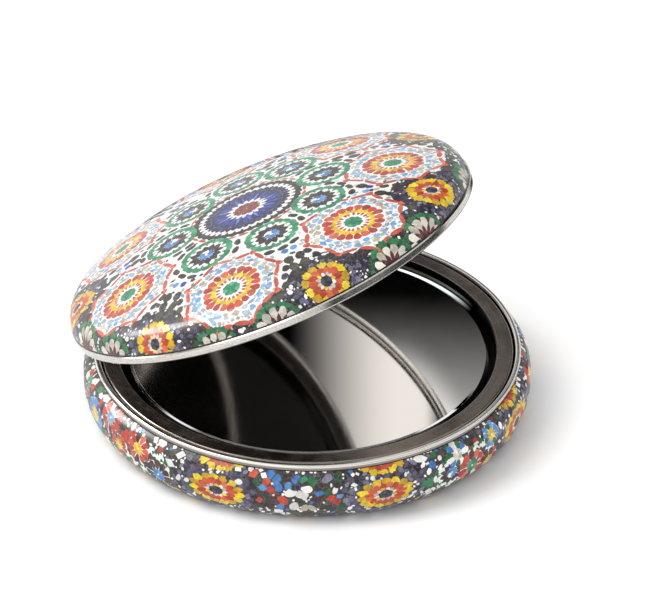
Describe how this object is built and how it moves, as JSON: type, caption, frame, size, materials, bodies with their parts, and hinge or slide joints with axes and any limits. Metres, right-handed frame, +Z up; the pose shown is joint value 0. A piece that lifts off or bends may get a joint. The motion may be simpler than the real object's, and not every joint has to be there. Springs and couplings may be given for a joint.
{
  "type": "compact mirror",
  "caption": "Round pocket compact mirror with a mosaic printed metal case, bright rims, a dark bezel, a bevelled mirror in the base, a plain one in the lid and a small hinge at the back.",
  "frame": {"origin": "centre of the flat underside of the base", "axes": "+Z up, +Y towards the hinge, and +X along the hinge pin's axis; the lid's front edge opens at -Y"},
  "size_m": [0.07, 0.0727, 0.0433],
  "materials": {
    "tinplate": "satin",
    "printed_skin": "gloss",
    "bright_rim": "polished",
    "dark_bezel": "satin",
    "black_tray": "matte",
    "foam_pad": "matte",
    "mirror_glass": "polished",
    "magnet_plating": "polished",
    "hinge_steel": "satin",
    "rivet_metal": "satin",
    "pin_steel": "polished"
  },
  "bodies": {
    "base": {"base_shell": "tinplate", "base_print": "printed_skin", "base_rim": "bright_rim", "base_bezel": "dark_bezel", "base_tray": "black_tray", "base_pad": "foam_pad", "base_mirror": "mirror_glass", "base_magnet": "magnet_plating", "base_hinge_leaf": "hinge_steel", "base_rivet_1": "rivet_metal", "base_rivet_2": "rivet_metal", "hinge_pin": "pin_steel"},
    "lid": {"lid_shell": "tinplate", "lid_print": "printed_skin", "lid_rim": "bright_rim", "lid_bezel": "dark_bezel", "lid_tray": "black_tray", "lid_pad": "foam_pad", "lid_mirror": "mirror_glass", "lid_magnet": "magnet_plating", "lid_hinge_leaf": "hinge_steel"}
  },
  "joints": [
    {"name": "lid_hinge", "type": "hinge", "parent": "base", "child": "lid", "pos_m": [0, 0.0344, 0.0045], "axis": [-1, 0, 0], "range_deg": [-25.7, 84.3]}
  ]
}
